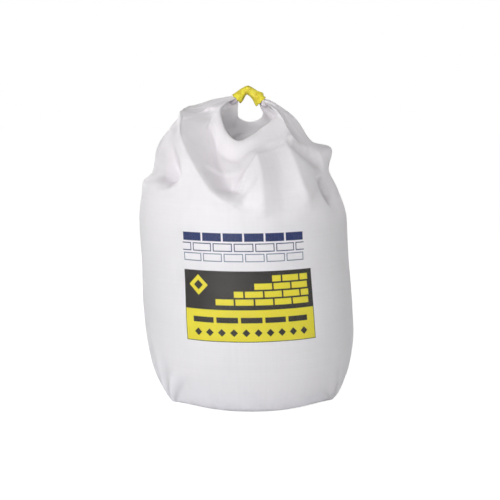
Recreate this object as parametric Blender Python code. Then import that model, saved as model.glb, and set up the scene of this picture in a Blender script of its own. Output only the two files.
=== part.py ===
"""Single loop big bag of cement, standing filled and unheld on the floor.

A tube of white woven fabric holds the load. Above the load the fabric is slack: it is slit at the
front and at the rear, and its left and right halves are gathered into one rope inside a yellow
sleeve, which is the lifting loop. The front faces -Y and the floor is z = 0.
"""

import math

import bpy
import numpy as np

# Body of the filled tube
SHOULDER_HEIGHT = 0.93
BULGE_HEIGHT = 0.34
BULGE_RADIUS = 0.481
NECKING_RADIUS = 0.472
BASE_RADIUS = 0.338
TOP_LEAN = -0.034
SHOULDER_TURN = 0.12
SHOULDER_SLOPE = 0.09

# The two corners of the flat bottom seam
EAR_ANGLES = (201.0, 344.0)
EAR_REACH = 0.056
EAR_SPREAD = 13.0

# Fabric, thicker than the real 0.5 mm so that it is a solid
FABRIC = 0.003
FILL_GAP = 0.0006
FILL_EDGE = 0.905
FILL_DOME = 0.065

# Gathered rope and the sleeve round it
ROPE_APEX = (-0.011, 1.400)
ROPE_SLOPE = 1.15
ROPE_BEND = 0.0317
SLEEVE_LEFT = -0.064
SLEEVE_RIGHT = 0.053
ROPE_THICK = 0.0182
ROPE_WIDE = 0.0245
SLEEVE_WALL = 0.0035
SLEEVE_GAP = 0.0012
NECK_CLEAR = 0.0015
TUCK = 0.008
TUCK_FADE = 10.0
HEM = 0.012

COLUMNS = 90
BODY_HEIGHTS = (
    0.0, 0.010, 0.030, 0.062, 0.115, 0.19, 0.30, 0.47, 0.68, 0.82, 0.88, 0.93
)
TENT_STEPS = 17
TOP_STEPS = 2
TOP_STEP = 0.0714
BASE_SHARES = (0.45, 0.80)
DOME_SHARES = (0.85, 0.60, 0.30)
ROPE_STEPS = 15
ROPE_SIDES = 24
ROPE_TAPER = ((0.012, 0.97), (0.024, 0.80), (0.034, 0.50))
ROPE_INSET = 0.0014
SLEEVE_STEPS = 19
SLEEVE_SIDES = 24

# Limits of the folds, so that the rows of points can follow them
SHARPEST_CREST = 0.032
NARROWEST_REACH = 0.050
SMOOTHINGS = 3
FALL_SHAPE = 1.4
FOLDS_END = (0.66, 0.90)


def clear_scene():
    for item in list(bpy.data.objects):
        bpy.data.objects.remove(item, do_unlink=True)


def material(name, colour, roughness):
    made = bpy.data.materials.new(name)
    made.use_nodes = True
    shader = made.node_tree.nodes["Principled BSDF"]
    shader.inputs["Base Color"].default_value = (*colour, 1.0)
    shader.inputs["Roughness"].default_value = roughness
    made.diffuse_color = (*colour, 1.0)
    return made


def loop_curve(stations, angles):
    """Smooth closed curve through stations of (degrees, values), read at the angles."""
    keys = np.array([s[0] for s in stations], float)
    values = np.array([s[1:] for s in stations], float)
    keys = np.concatenate([keys[-2:] - 360.0, keys, keys[:3] + 360.0])
    values = np.concatenate([values[-2:], values, values[:3]])
    slope = (values[2:] - values[:-2]) / (keys[2:] - keys[:-2])[:, None]
    wrapped = np.where(angles < keys[2], angles + 360.0, angles)
    seat = np.clip(np.searchsorted(keys, wrapped, side="right") - 1, 1, len(keys) - 3)
    span = (keys[seat + 1] - keys[seat])[:, None]
    s = (wrapped - keys[seat])[:, None] / span
    start, end = values[seat], values[seat + 1]
    out, into = slope[seat - 1] * span, slope[seat] * span
    rise = s * s * (3 - 2 * s)
    return start + (end - start) * rise + out * s * (1 - s) ** 2 - into * s * s * (1 - s)


def ease(low, high, value):
    s = np.clip((value - low) / (high - low), 0.0, 1.0)
    return s * s * (3 - 2 * s)


def turn_between(angle, centre):
    """Signed degrees from centre to angle, within half a turn."""
    return (angle - centre + 180.0) % 360.0 - 180.0


def lean(z):
    """How far the middle of the bag is moved along X at height z."""
    return TOP_LEAN * ease(0.15, 0.95, z) + 0.006 * (1 - ease(0.1, 0.4, z))


def ear_share(angle):
    """1 at the tip of an ear of the bottom seam, fading to 0 beside it."""
    share = np.zeros_like(angle)
    for tip in EAR_ANGLES:
        away = np.abs(turn_between(angle, tip)) / EAR_SPREAD
        share = np.maximum(share, 1.0 / (1.0 + away ** 2.2))
    return share


def body_radius(angle, z):
    """Distance of the fabric from the leaning middle line, below the shoulder."""
    foot = BASE_RADIUS + EAR_REACH * ear_share(angle)
    up = np.clip(z / BULGE_HEIGHT, 0.0, 1.0)
    round_foot = (1.0 - (1.0 - up) ** 2) ** (0.5 + 0.12 * ear_share(angle))
    belly = BULGE_RADIUS - (BULGE_RADIUS - NECKING_RADIUS) * ease(0.42, 0.66, z)
    radius = foot + (belly - foot) * round_foot
    radius = radius - 0.013 * ease(0.82, 0.96, z)
    turn = np.radians(angle)
    waves = 0.0030 * np.sin(2 * turn + 0.6) + 0.0022 * np.sin(3 * turn + 4 * z)
    waves = waves + 0.0016 * np.sin(5 * turn - 6 * z + 1.0)
    return radius + waves * ease(0.03, 0.3, z)


def shoulder_turn(angle, z):
    """How far the filled body turns inwards below the shoulder, to run on into the slack part."""
    pull = loop_curve(shoulder_pull(), angle)
    slope = pull[:, 0] / pull[:, 1] - SHOULDER_SLOPE
    past = np.maximum(z - (SHOULDER_HEIGHT - SHOULDER_TURN), 0.0)
    return slope * past * past / (2 * SHOULDER_TURN)


def body_point(angle, z):
    turn = np.radians(angle)
    radius = body_radius(angle, z) - shoulder_turn(angle, z)
    x = lean(z) + radius * np.cos(turn)
    return np.stack([x, radius * np.sin(turn), np.broadcast_to(z, x.shape)], axis=-1)


def rope_height(x):
    """Height of the middle of the rope over x: two straight legs and a round top."""
    bend = ROPE_BEND
    reach = ROPE_SLOPE * (x - ROPE_APEX[0])
    return ROPE_APEX[1] + bend - np.sqrt(bend * bend + reach * reach)


def rope_frame(x):
    """Middle of the rope over x, its direction to the right and its upward normal."""
    reach = ROPE_SLOPE * (x - ROPE_APEX[0])
    slope = -ROPE_SLOPE * reach / np.hypot(ROPE_BEND, reach)
    along = np.array([1.0, 0.0, slope]) / math.hypot(1.0, slope)
    up = np.array([-along[2], 0.0, along[0]])
    return np.array([x, 0.0, rope_height(x)]), along, up


def rope_ring_point(x, phi, thick, wide, shift=0.0):
    """Point of the ring round the rope at x; phi is 0 on top and 90 at the front."""
    middle, along, up = rope_frame(x)
    turn = math.radians(phi)
    front = np.array([0.0, -1.0, 0.0])
    return middle + shift * along + thick * math.cos(turn) * up + wide * math.sin(turn) * front


def neck(x, phi):
    return tuple(rope_ring_point(x, phi, ROPE_THICK, ROPE_WIDE))


# Where the fabric enters the sleeve: degrees round the bag, and degrees round the rope for each
LEFT_RING = ((145.0, 162.0, 182.0, 202.0, 217.0), (-150.0, -75.0, 0.0, 45.0, 90.0))
RIGHT_RING = ((333.0, 346.0, 360.0, 378.0, 394.0), (90.0, 45.0, 0.0, -70.0, -150.0))


def top_edge():
    """Top edge of the slack fabric: degrees round the bag, point, and the way the fabric leaves it.

    The last value is a place for the mark of the rings, where the fabric enters the sleeve.
    """
    left, right = SLEEVE_LEFT - NECK_CLEAR, SLEEVE_RIGHT + NECK_CLEAR
    return (
        (0, *neck(right, 0), 0.10, 0.02, -0.02, 0),
        (18, *neck(right, -70), 0.08, 0.11, -0.05, 0),
        (34, *neck(right, -150), 0.035, 0.07, -0.06, 0),
        (44, 0.060, 0.085, 1.296, 0.03, 0.09, -0.09, 0),
        (60, 0.042, 0.135, 1.266, 0.02, 0.10, -0.10, 0),
        (85, -0.004, 0.158, 1.254, 0.00, 0.11, -0.10, 0),
        (110, -0.043, 0.128, 1.268, -0.02, 0.10, -0.10, 0),
        (130, -0.056, 0.080, 1.288, -0.04, 0.09, -0.08, 0),
        (145, *neck(left, -150), -0.09, 0.07, -0.05, 0),
        (162, *neck(left, -75), -0.18, 0.12, -0.04, 0),
        (182, *neck(left, 0), -0.30, 0.01, -0.035, 0),
        (202, *neck(left, 45), -0.25, -0.05, -0.030, 0),
        (217, *neck(left, 90), -0.19, -0.07, 0.000, 0),
        (231, -0.108, -0.082, 1.342, -0.10, -0.08, -0.015, 0),
        (241, -0.128, -0.112, 1.309, -0.04, -0.09, -0.04, 0),
        (250, -0.120, -0.150, 1.266, -0.01, -0.09, -0.05, 0),
        (260, -0.096, -0.190, 1.216, 0.00, -0.09, -0.06, 0),
        (269, -0.055, -0.220, 1.185, 0.00, -0.09, -0.06, 0),
        (279, -0.008, -0.217, 1.200, 0.01, -0.09, -0.07, 0),
        (291, 0.045, -0.190, 1.236, 0.02, -0.09, -0.08, 0),
        (303, 0.092, -0.150, 1.268, 0.03, -0.09, -0.08, 0),
        (312, 0.116, -0.116, 1.294, 0.05, -0.09, -0.06, 0),
        (321, 0.092, -0.084, 1.325, 0.07, -0.07, -0.015, 0),
        (333, *neck(right, 90), 0.11, -0.05, -0.010, 0),
        (346, *neck(right, 45), 0.10, -0.03, -0.020, 0),
    )


def ring_points(angle, ring, end, inward, tuck):
    """Points round the rope at one end of the sleeve, tucked in except beside the slits."""
    beside = np.minimum(angle - ring[0][0], ring[0][-1] - angle)
    depth = inward * (tuck * ease(0.0, TUCK_FADE, beside) - NECK_CLEAR)
    phis = np.interp(angle, *ring)
    return np.array([neck(end + d, phi) for d, phi in zip(depth, phis)]).reshape(-1, 3)


def edge_at(angle, tuck):
    """Top edge at the angles, its rings moved into the sleeve by tuck along X."""
    edge = loop_curve(top_edge(), angle)
    left = (angle >= LEFT_RING[0][0]) & (angle <= LEFT_RING[0][-1])
    late = np.where(angle < 180.0, angle + 360.0, angle)
    right = (late >= RIGHT_RING[0][0]) & (late <= RIGHT_RING[0][-1])
    edge[left, :3] = ring_points(angle[left], LEFT_RING, SLEEVE_LEFT, 1.0, tuck)
    edge[right, :3] = ring_points(late[right], RIGHT_RING, SLEEVE_RIGHT, -1.0, tuck)
    edge[:, 6] = left | right
    return edge


def shoulder_pull():
    """How the fabric rises from the shoulder: degrees round the bag, inward pull, rise."""
    return (
        (0, 0.060, 0.150),
        (45, 0.020, 0.150),
        (90, 0.010, 0.160),
        (135, 0.010, 0.190),
        (180, 0.028, 0.215),
        (225, 0.010, 0.150),
        (270, 0.005, 0.110),
        (315, 0.030, 0.130),
    )


def tent_point(angle, step):
    """Slack fabric between the shoulder, step 0, and its top edge, step 1."""
    start = body_point(angle, np.full_like(angle, SHOULDER_HEIGHT))
    edge = edge_at(angle, 0.0)
    end, leave = edge[:, :3], edge[:, 3:6]
    pull = loop_curve(shoulder_pull(), angle)
    turn = np.radians(angle)
    rise = np.stack([-pull[:, 0] * np.cos(turn), -pull[:, 0] * np.sin(turn), pull[:, 1]], axis=1)
    weights = ((1 - step) ** 3, 3 * (1 - step) ** 2 * step, 3 * (1 - step) * step ** 2, step ** 3)
    corners = (start, start + rise, end + leave, end)
    return sum(w[:, None] * c for w, c in zip(weights, corners))


# Folds of the slack fabric. Each is a crest that runs over the surface through its stations,
# (degrees round the bag, level), where level is the step above the shoulder or, below 0, metres
# under it. Seen from outside and looking along the path, the cloth rises on the left of the crest
# over the first reach to the first height, and falls on the right within the second reach to the
# second height below the smooth cloth, which it meets again over the third. The last is the
# roundness of the crest. A path down the front has its fall on the image's right.
def folds():
    return (
        ("front left lip", ((172, 0.84), (181, 0.78), (192, 0.71), (201, 0.65), (209, 0.60),
                            (217, 0.53), (226, 0.45), (235.5, 0.37), (244.5, 0.30),
                            (253, 0.17), (261, 0.05), (269, -0.01)),
         0.026, 0.035, (0.050, 0.084, 0.082, 0.055, 0.022), (0.13, 0.15, 0.12, 0.08, 0.03),
         (0.06, 0.07, 0.07, 0.06, 0.05), 0.006),
        ("left facet edge", ((234, 0.15), (232.5, 0.28), (227.5, 0.36), (219, 0.43),
                             (209.5, 0.49), (192, 0.55)),
         0.016, 0.026, 0.060, 0.070, 0.060, 0.005),
        ("left shoulder shelf", ((165, 0.10), (180, 0.11), (195, 0.12), (208.5, 0.14), (218.5, 0.16),
                                 (227, 0.17), (236, 0.18)),
         0.006, 0.040, 0.024, 0.040, 0.080, 0.010),
        ("hanging crease", ((272, 0.56), (266, 0.535), (259, 0.48), (252, 0.42), (246, 0.39)),
         0.003, 0.040, (0.002, 0.006, 0.010), 0.022, 0.050, 0.008),
        ("middle ridge", ((279, 0.79), (281, 0.68), (282, 0.57), (282, 0.44), (281.5, 0.31),
                          (281, 0.18), (281, 0.01), (281.5, -0.03)),
         0.024, (0.025, 0.070), 0.030, 0.110, 0.060, 0.006),
        ("front right ridge", ((304.5, 0.76), (308.5, 0.67), (309, 0.57), (308, 0.47), (307.5, 0.34),
                               (307.5, 0.22), (309, 0.08), (311.5, -0.02)),
         0.028, 0.038, 0.022, 0.045, 0.060, 0.006),
        ("front right crease", ((350, 0.40), (343, 0.425), (335, 0.45), (325, 0.52),
                                (318, 0.60), (313, 0.70)),
         0.010, 0.030, 0.032, 0.024, 0.060, 0.006),
        ("right pit edge", ((322, 0.19), (323, 0.12), (324.5, 0.03), (327, -0.03)),
         0.006, 0.030, 0.026, 0.028, 0.060, 0.006),
        ("left side lip", ((166, 0.74), (160, 0.46), (156, 0.20), (150, -0.02)),
         0.018, 0.050, 0.028, 0.060, 0.060, 0.006),
        ("rear left lip", ((140, 0.80), (132, 0.52), (126, 0.24), (120, -0.02)),
         0.018, 0.050, 0.034, 0.090, 0.060, 0.006),
        ("rear swag", ((118, 0.44), (110, 0.52), (101, 0.50)),
         0.008, 0.030, 0.014, 0.020, 0.050, 0.006),
        ("rear middle ridge", ((104, 0.78), (100, 0.50), (97, 0.22), (99, -0.02)),
         0.020, 0.050, 0.034, 0.090, 0.060, 0.006),
        ("rear right lip", ((60, 0.82), (58, 0.52), (62, 0.24), (56, -0.02)),
         0.020, 0.060, 0.034, 0.090, 0.060, 0.006),
        ("right side lip", ((20, 0.78), (18, 0.50), (24, 0.22), (20, -0.02)),
         0.016, 0.050, 0.024, 0.060, 0.060, 0.006),
        ("rear shoulder shelf", ((118, 0.10), (135, 0.08), (150, 0.10)),
         0.006, 0.040, 0.016, 0.040, 0.050, 0.010),
    )


# Broad swells and hollows of the slack fabric: degrees round the bag, level, how far each reaches
# in degrees and in level, and the height, which is negative for a hollow.
def swells():
    return (
        ("left facet hollow", 190, 0.27, 22, 0.12, -0.008),
        ("left brow", 178, 0.55, 14, 0.11, -0.026),
        ("front left column", 232, 0.70, 12, 0.10, 0.010),
        ("front basin", 262, 0.24, 9, 0.12, -0.014),
        ("right arm", 8, 0.64, 16, 0.16, 0.014),
        ("right arm groove", 334, 0.60, 14, 0.15, -0.030),
        ("right knuckle", 15, 0.325, 24, 0.085, 0.078),
        ("right waist", 350, 0.22, 14, 0.06, -0.006),
        ("right shoulder pit", 333, 0.10, 9, 0.11, -0.026),
        ("rear hollow", 79, 0.42, 10, 0.22, -0.012),
    )


def along_path(value, share):
    """A fold's measure at each share of its path: one number, or several spread along it."""
    spread = np.atleast_1d(value)
    return np.interp(share, np.linspace(0.0, 1.0, len(spread)), spread)


def bag_point(angle, level):
    below = body_point(angle, SHOULDER_HEIGHT + np.minimum(level, 0.0))
    above = tent_point(angle, np.maximum(level, 0.0))
    return np.where((level < 0)[:, None], below, above)


def normals_of(grid):
    """Outward unit normals of a grid of points whose rows run round the bag."""
    across = np.roll(grid, -1, axis=1) - np.roll(grid, 1, axis=1)
    upward = np.gradient(grid, axis=0)
    normal = np.cross(across, upward)
    return normal / np.maximum(np.linalg.norm(normal, axis=-1, keepdims=True), 1e-9)


def path_points(stations):
    """Points along a fold on the smooth fabric, with their directions and normals."""
    keys = np.arange(len(stations), dtype=float)
    reads = np.linspace(0.0, keys[-1], 12 * (len(stations) - 1) + 1)
    angles = np.unwrap([s[0] for s in stations], period=360.0)
    at = np.interp(reads, keys, angles) % 360.0
    levels = np.interp(reads, keys, [s[1] for s in stations])
    points = bag_point(at, levels)
    across = bag_point((at + 0.4) % 360.0, levels) - bag_point((at - 0.4) % 360.0, levels)
    upward = bag_point(at, levels + 0.004) - bag_point(at, levels - 0.004)
    normal = np.cross(across, upward)
    normal /= np.linalg.norm(normal, axis=1, keepdims=True)
    along = np.gradient(points, axis=0)
    along /= np.linalg.norm(along, axis=1, keepdims=True)
    return points, along, normal


def fold_lift(grid, normals, fold):
    """Lift of each grid point along its normal made by one fold."""
    _, stations, crest, rise, trough, fall, rest, roundness = fold
    roundness = max(roundness, SHARPEST_CREST)
    points, along, normal = path_points(stations)
    offset = grid[..., None, :] - points
    near = np.argmin((offset ** 2).sum(axis=-1), axis=-1)
    from_path = np.take_along_axis(offset, near[..., None, None], axis=-2)[..., 0, :]
    forward, outward = along[near], normal[near]
    side = (np.cross(outward, forward) * from_path).sum(axis=-1)
    past = (forward * from_path).sum(axis=-1)
    depth = np.abs((outward * from_path).sum(axis=-1))
    share = near / (len(points) - 1)
    crest, trough = along_path(crest, share), along_path(trough, share)
    rise, fall, rest = (
        np.maximum(along_path(reach, share), NARROWEST_REACH) for reach in (rise, fall, rest)
    )
    taper = ease(0.0, 0.22, share + 0.04) * ease(0.0, 0.25, 1.04 - share)
    down = 0.5 * (side + np.sqrt(side * side + roundness * roundness))
    drop = 1.0 - (1.0 - np.clip(down / fall, 0.0, 1.0)) ** FALL_SHAPE
    left = crest * np.exp(-(np.minimum(side, 0.0) / rise) ** 2)
    right = trough * np.exp(-(np.maximum(down - fall, 0.0) / rest) ** 2)
    lift = left * (1 - drop) - right * drop
    same_side = ease(0.1, 0.6, (outward * normals).sum(axis=-1)) * (1 - ease(0.08, 0.14, depth))
    return lift * taper * same_side * np.exp(-(past / (0.7 * rise)) ** 2)


def swell_lift(angles, level, swell):
    """Lift of each point of the rows made by one broad swell or hollow."""
    _, centre, middle, wide, high, height = swell
    across = turn_between(angles, centre) / wide
    upward = (level - middle) / high
    return height * np.exp(-across ** 2)[None, :] * np.exp(-upward ** 2)[:, None]


def smoothed(lift):
    """The lift averaged with its neighbours, so that sharp folds draw no saw teeth on the rows."""
    for _ in range(SMOOTHINGS):
        lift = 0.5 * lift + 0.25 * (np.roll(lift, 1, axis=1) + np.roll(lift, -1, axis=1))
        inner = 0.5 * lift[1:-1] + 0.25 * (lift[2:] + lift[:-2])
        lift = np.concatenate([lift[:1], inner, lift[-1:]])
    return lift


def tent_levels():
    """Levels of the rows above the shoulder, further apart at the top, where the cloth gathers."""
    turn = 1.0 - TOP_STEPS * TOP_STEP
    low = np.linspace(0.0, turn, TENT_STEPS - TOP_STEPS + 1)[1:]
    return np.concatenate([low, turn + TOP_STEP * np.arange(1, TOP_STEPS + 1)])


def outer_rows(angles):
    """Outer skin of the fabric from the edge of the base up to its top edge."""
    body = [body_point(angles, np.full_like(angles, z)) for z in BODY_HEIGHTS]
    steps = tent_levels()
    tent = [tent_point(angles, np.full_like(angles, step)) for step in steps]
    grid = np.array(body + tent)
    normals = normals_of(grid)
    level = np.concatenate([np.array(BODY_HEIGHTS) - SHOULDER_HEIGHT, steps])
    lift = sum(fold_lift(grid, normals, fold) for fold in folds())
    lift = lift + sum(swell_lift(angles, level, swell) for swell in swells())
    lift = smoothed(lift) * (1 - ease(*FOLDS_END, level))[:, None]
    return grid + lift[..., None] * normals


def hemmed(grid, angles):
    """The rows with the last strip added: a hem on each slit, a tuck into the sleeve elsewhere."""
    edge = edge_at(angles, 0.0)
    leave = edge[:, 3:6] / np.linalg.norm(edge[:, 3:6], axis=1, keepdims=True)
    grid = grid.copy()
    grid[-1] += leave * HEM * (1 - edge[:, 6:7])
    return np.concatenate([grid, edge_at(angles, TUCK)[None, :, :3]])


def rows_to_faces(grid):
    """Triangles between the rows of a grid that closes on itself, split by the shorter diagonal."""
    rows, columns = grid.shape[:2]
    faces = []
    for row in range(rows - 1):
        for column in range(columns):
            after = (column + 1) % columns
            low, high = row * columns, (row + 1) * columns
            a, b, c, d = low + column, low + after, high + after, high + column
            rising = np.linalg.norm(grid[row + 1, after] - grid[row, column])
            falling = np.linalg.norm(grid[row + 1, column] - grid[row, after])
            if rising < falling:
                faces += [(a, b, c), (a, c, d)]
            else:
                faces += [(a, b, d), (b, c, d)]
    return faces


def turned_in(faces, offset):
    """The same faces on the inner skin, whose points come offset later, looking inwards."""
    return [tuple(offset + corner for corner in face[::-1]) for face in faces]


def make_mesh(name, points, faces, look):
    data = bpy.data.meshes.new(name)
    data.from_pydata([tuple(p) for p in points], [], faces)
    data.materials.append(look)
    data.polygons.foreach_set("use_smooth", [True] * len(data.polygons))
    data.update()
    made = bpy.data.objects.new(name, data)
    bpy.context.scene.collection.objects.link(made)
    return made


def base_rings(row, shares):
    """Rings inside the first row, from the middle outwards, at that row's height."""
    middle = row.mean(axis=0)
    return [middle + share * (row - middle) for share in shares]


def vertex_normals(points, faces):
    total = np.zeros_like(points)
    for face in faces:
        corners = points[list(face)]
        total[list(face)] += np.cross(corners[1] - corners[0], corners[2] - corners[0])
    return total / np.maximum(np.linalg.norm(total, axis=1, keepdims=True), 1e-12)


def outer_skin():
    """Points and faces of the fabric's outer skin, with the middle of the base last."""
    angles = np.arange(COLUMNS) * 360.0 / COLUMNS
    grid = hemmed(outer_rows(angles), angles)
    rings = base_rings(grid[0], BASE_SHARES)
    grid = np.concatenate([np.array(rings), grid])
    points = np.concatenate([grid.reshape(-1, 3), grid[0].mean(axis=0)[None]])
    faces = rows_to_faces(grid)
    middle = len(points) - 1
    for column in range(COLUMNS):
        faces.append((middle, (column + 1) % COLUMNS, column))
    return points, faces, len(grid)


def sunk(points, normals, depth):
    return points - depth * normals


def make_bag(look):
    """Fabric with its inner skin, joined along the top edge, and the rope of gathered fabric."""
    points, faces, rows = outer_skin()
    normals = vertex_normals(points, faces)
    inner = sunk(points, normals, FABRIC)
    count = len(points)
    back = turned_in(faces, count)
    first = (rows - 1) * COLUMNS
    rim = []
    for column in range(COLUMNS):
        after = (column + 1) % COLUMNS
        rim.append((first + column, first + after, count + first + after, count + first + column))
    bag = make_mesh("woven_bag", np.concatenate([points, inner]), faces + back + rim, look)
    rope = make_rope(look)
    rope.hide_render = True
    rope.display_type = "WIRE"
    joined = bag.modifiers.new("rope of gathered fabric", "BOOLEAN")
    joined.operation = "UNION"
    joined.solver = "EXACT"
    joined.object = rope
    return points, normals


def apex_squeeze(x):
    """The rope and its sleeve are squeezed a little where they bend over the hook."""
    return 1.0 - 0.15 * math.exp(-((x - ROPE_APEX[0]) / 0.022) ** 2)


def swept_tube(stations, thick, wide, sides):
    """Rings round the rope at the stations of (x, shift along the rope, share of the size)."""
    rings = []
    for x, shift, share in stations:
        squeeze = apex_squeeze(x)
        ring = [
            rope_ring_point(x, 360.0 * side / sides, thick * squeeze * share, wide * share, shift)
            for side in range(sides)
        ]
        rings.append(ring)
    return np.array(rings)


def rope_stations():
    xs = np.linspace(SLEEVE_LEFT, SLEEVE_RIGHT, ROPE_STEPS)
    inner = [(x, 0.0, 1.0) for x in xs]
    left = [(SLEEVE_LEFT, -reach, share) for reach, share in ROPE_TAPER[::-1]]
    right = [(SLEEVE_RIGHT, reach, share) for reach, share in ROPE_TAPER]
    return left + inner + right


def capped(grid):
    """Faces of a tube of rings with a flat end at each side."""
    rings, sides = grid.shape[:2]
    first = tuple(range(sides))
    last = tuple((rings - 1) * sides + side for side in range(sides))
    return rows_to_faces(grid) + [first[::-1], last]


def make_rope(look):
    size = ROPE_THICK - ROPE_INSET, ROPE_WIDE - ROPE_INSET
    grid = swept_tube(rope_stations(), *size, ROPE_SIDES)
    return make_mesh("rope_of_fabric", grid.reshape(-1, 3), capped(grid), look)


def make_sleeve(look):
    """Yellow tube round the rope, open at both ends."""
    xs = np.linspace(SLEEVE_LEFT, SLEEVE_RIGHT, SLEEVE_STEPS)
    stations = [(x, 0.0, 1.0) for x in xs]
    clear = SLEEVE_GAP
    thick = clear + SLEEVE_WALL
    inside = swept_tube(stations, ROPE_THICK, ROPE_WIDE, SLEEVE_SIDES)
    middle = swept_tube(stations, 0.0, 0.0, SLEEVE_SIDES)
    outward = inside - middle
    outward /= np.linalg.norm(outward, axis=-1, keepdims=True)
    outside = inside + thick * outward
    inside = inside + clear * outward
    count = SLEEVE_STEPS * SLEEVE_SIDES
    faces = rows_to_faces(outside)
    faces += turned_in(faces, count)
    last = (SLEEVE_STEPS - 1) * SLEEVE_SIDES
    for side in range(SLEEVE_SIDES):
        after = (side + 1) % SLEEVE_SIDES
        faces.append((after, side, count + side, count + after))
        faces.append((last + side, last + after, count + last + after, count + last + side))
    points = np.concatenate([outside.reshape(-1, 3), inside.reshape(-1, 3)])
    return make_mesh("loop_sleeve", points, faces, look)


def make_fill(points, normals, look):
    """Cement inside the fabric: flat below, round at the sides and a low dome on top."""
    rows = len(BASE_SHARES) + sum(z <= FILL_EDGE for z in BODY_HEIGHTS)
    grid = sunk(points, normals, FABRIC + FILL_GAP)[:-1].reshape(-1, COLUMNS, 3)[:rows]
    rim = grid[-1]
    middle = rim.mean(axis=0)
    dome = []
    for share in DOME_SHARES:
        ring = middle + share * (rim - middle)
        ring[:, 2] = rim[:, 2] + FILL_DOME * (1 - share * share)
        dome.append(ring)
    grid = np.concatenate([grid, np.array(dome)])
    low = grid[0].mean(axis=0)
    high = grid[-1].mean(axis=0)
    body = grid.reshape(-1, 3)
    faces = rows_to_faces(grid)
    last = (len(grid) - 1) * COLUMNS
    for column in range(COLUMNS):
        after = (column + 1) % COLUMNS
        faces.append((len(body), after, column))
        faces.append((len(body) + 1, last + column, last + after))
    return make_mesh("cement_fill", np.concatenate([body, low[None], high[None]]), faces, look)


def build():
    clear_scene()
    white = material("woven_white", (0.86, 0.855, 0.88), 0.62)
    yellow = material("sleeve_yellow", (0.86, 0.70, 0.04), 0.55)
    grey = material("cement_grey", (0.42, 0.42, 0.40), 0.95)
    points, normals = make_bag(white)
    make_fill(points, normals, grey)
    make_sleeve(yellow)


build()
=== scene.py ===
"""Single loop big bag of cement, as it stands filled and unheld on a pale floor.

The fabric is one woven tube. Its slack top is slit at the front and at the rear, and the two
halves run together into a rope inside a yellow sleeve. The front faces -Y and the floor is z = 0.
"""

import math

import bpy
import numpy as np
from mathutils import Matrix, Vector


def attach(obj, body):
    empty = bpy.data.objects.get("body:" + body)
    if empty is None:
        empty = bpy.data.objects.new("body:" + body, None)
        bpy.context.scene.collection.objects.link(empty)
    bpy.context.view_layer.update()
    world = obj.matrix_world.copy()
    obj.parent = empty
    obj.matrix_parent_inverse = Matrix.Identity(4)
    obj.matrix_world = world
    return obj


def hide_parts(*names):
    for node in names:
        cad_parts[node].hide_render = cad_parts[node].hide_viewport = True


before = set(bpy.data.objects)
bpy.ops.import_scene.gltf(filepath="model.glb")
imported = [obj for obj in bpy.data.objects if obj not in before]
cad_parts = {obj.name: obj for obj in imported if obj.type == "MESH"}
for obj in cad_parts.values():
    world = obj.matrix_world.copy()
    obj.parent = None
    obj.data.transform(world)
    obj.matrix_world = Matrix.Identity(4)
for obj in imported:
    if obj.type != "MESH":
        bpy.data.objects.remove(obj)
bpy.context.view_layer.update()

# Lengths are in metres and angles in degrees round the bag, with 270 at the front, unless a line
# says otherwise. A level is the step above the shoulder, up to 1 at the top edge of the slack
# fabric, or, below 0, metres under the shoulder. HEIGHTS are the pair that a change runs over.

# Camera and light
CAMERA_PLACE = (0.0, -5.5, 1.45)
CAMERA_AIM = (0.0, 0.0, 0.671)
CAMERA_SENSOR = 36.0
CAMERA_LENS = 86.84
LIGHT_AIM = (0, 0, 0.9)
# name, place, width of the disc, watts
LIGHTS = (("key", (-1.4, -4.2, 2.2), 2.0, 172), ("rear fill", (-1.6, 4.4, 1.7), 2.5, 66))
WORLD_HORIZON = 1.22
WORLD_ZENITH = 0.02
WORLD_FRONT = 0.08
WORLD_RIGHT = 0.24
FLOOR_HALF = 30.0
FLOOR_GLOW = 0.86

# Body of the filled tube, as the solids have it
SHOULDER_HEIGHT = 0.93
BULGE_HEIGHT = 0.34
BULGE_RADIUS = 0.481
NECKING_RADIUS = 0.472
NECKING_HEIGHTS = (0.42, 0.66)
BASE_RADIUS = 0.338
SHOULDER_INSET = 0.013
SHOULDER_INSET_HEIGHTS = (0.82, 0.96)
TOP_LEAN = -0.034
TOP_LEAN_HEIGHTS = (0.15, 0.95)
FOOT_LEAN = 0.006
FOOT_LEAN_HEIGHTS = (0.1, 0.4)
SHOULDER_TURN = 0.12
SHOULDER_SLOPE = 0.09
# slow waves: count round the bag, turn with the height, start, size
BODY_WAVES = ((2, 0, 0.6, 0.003), (3, 4, 0.0, 0.0022), (5, -6, 1.0, 0.0016))
BODY_WAVES_HEIGHTS = (0.03, 0.3)
# how the fabric rises from the shoulder: angle, inward pull, rise
SHOULDER_PULL = ((0, 0.06, 0.15), (45, 0.02, 0.15), (90, 0.01, 0.16), (135, 0.01, 0.19),
                 (180, 0.028, 0.215), (225, 0.01, 0.15), (270, 0.005, 0.11),
                 (315, 0.03, 0.13))

# Ears at the ends of the bottom seam, sharper than the solids have them. Spread and point are
# degrees: how fast an ear fades beside its tip, and the width over which the tip is rounded.
EAR_ANGLES = (204.5, 340.5)
EAR_REACH = 0.056
EAR_SPREAD = 9.0
EAR_POINT = 1.5
EAR_SLIM = 0.25
EAR_PINCH = 0.01
EAR_PINCH_WIDE = 24.0
EAR_PINCH_HIGH = 0.16

# Rope of gathered fabric, and the ends of the sleeve on it
ROPE_APEX = (-0.011, 1.4)
ROPE_SLOPE = 1.15
ROPE_BEND = 0.0317
ROPE_THICK = 0.0182
ROPE_WIDE = 0.0245
ROPE_SQUEEZE = 0.15
ROPE_SQUEEZE_REACH = 0.022
SLEEVE_LEFT = -0.064
SLEEVE_RIGHT = 0.053
NECK_CLEAR = 0.0015
TUCK = 0.008
TUCK_FADE = 10.0

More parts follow.
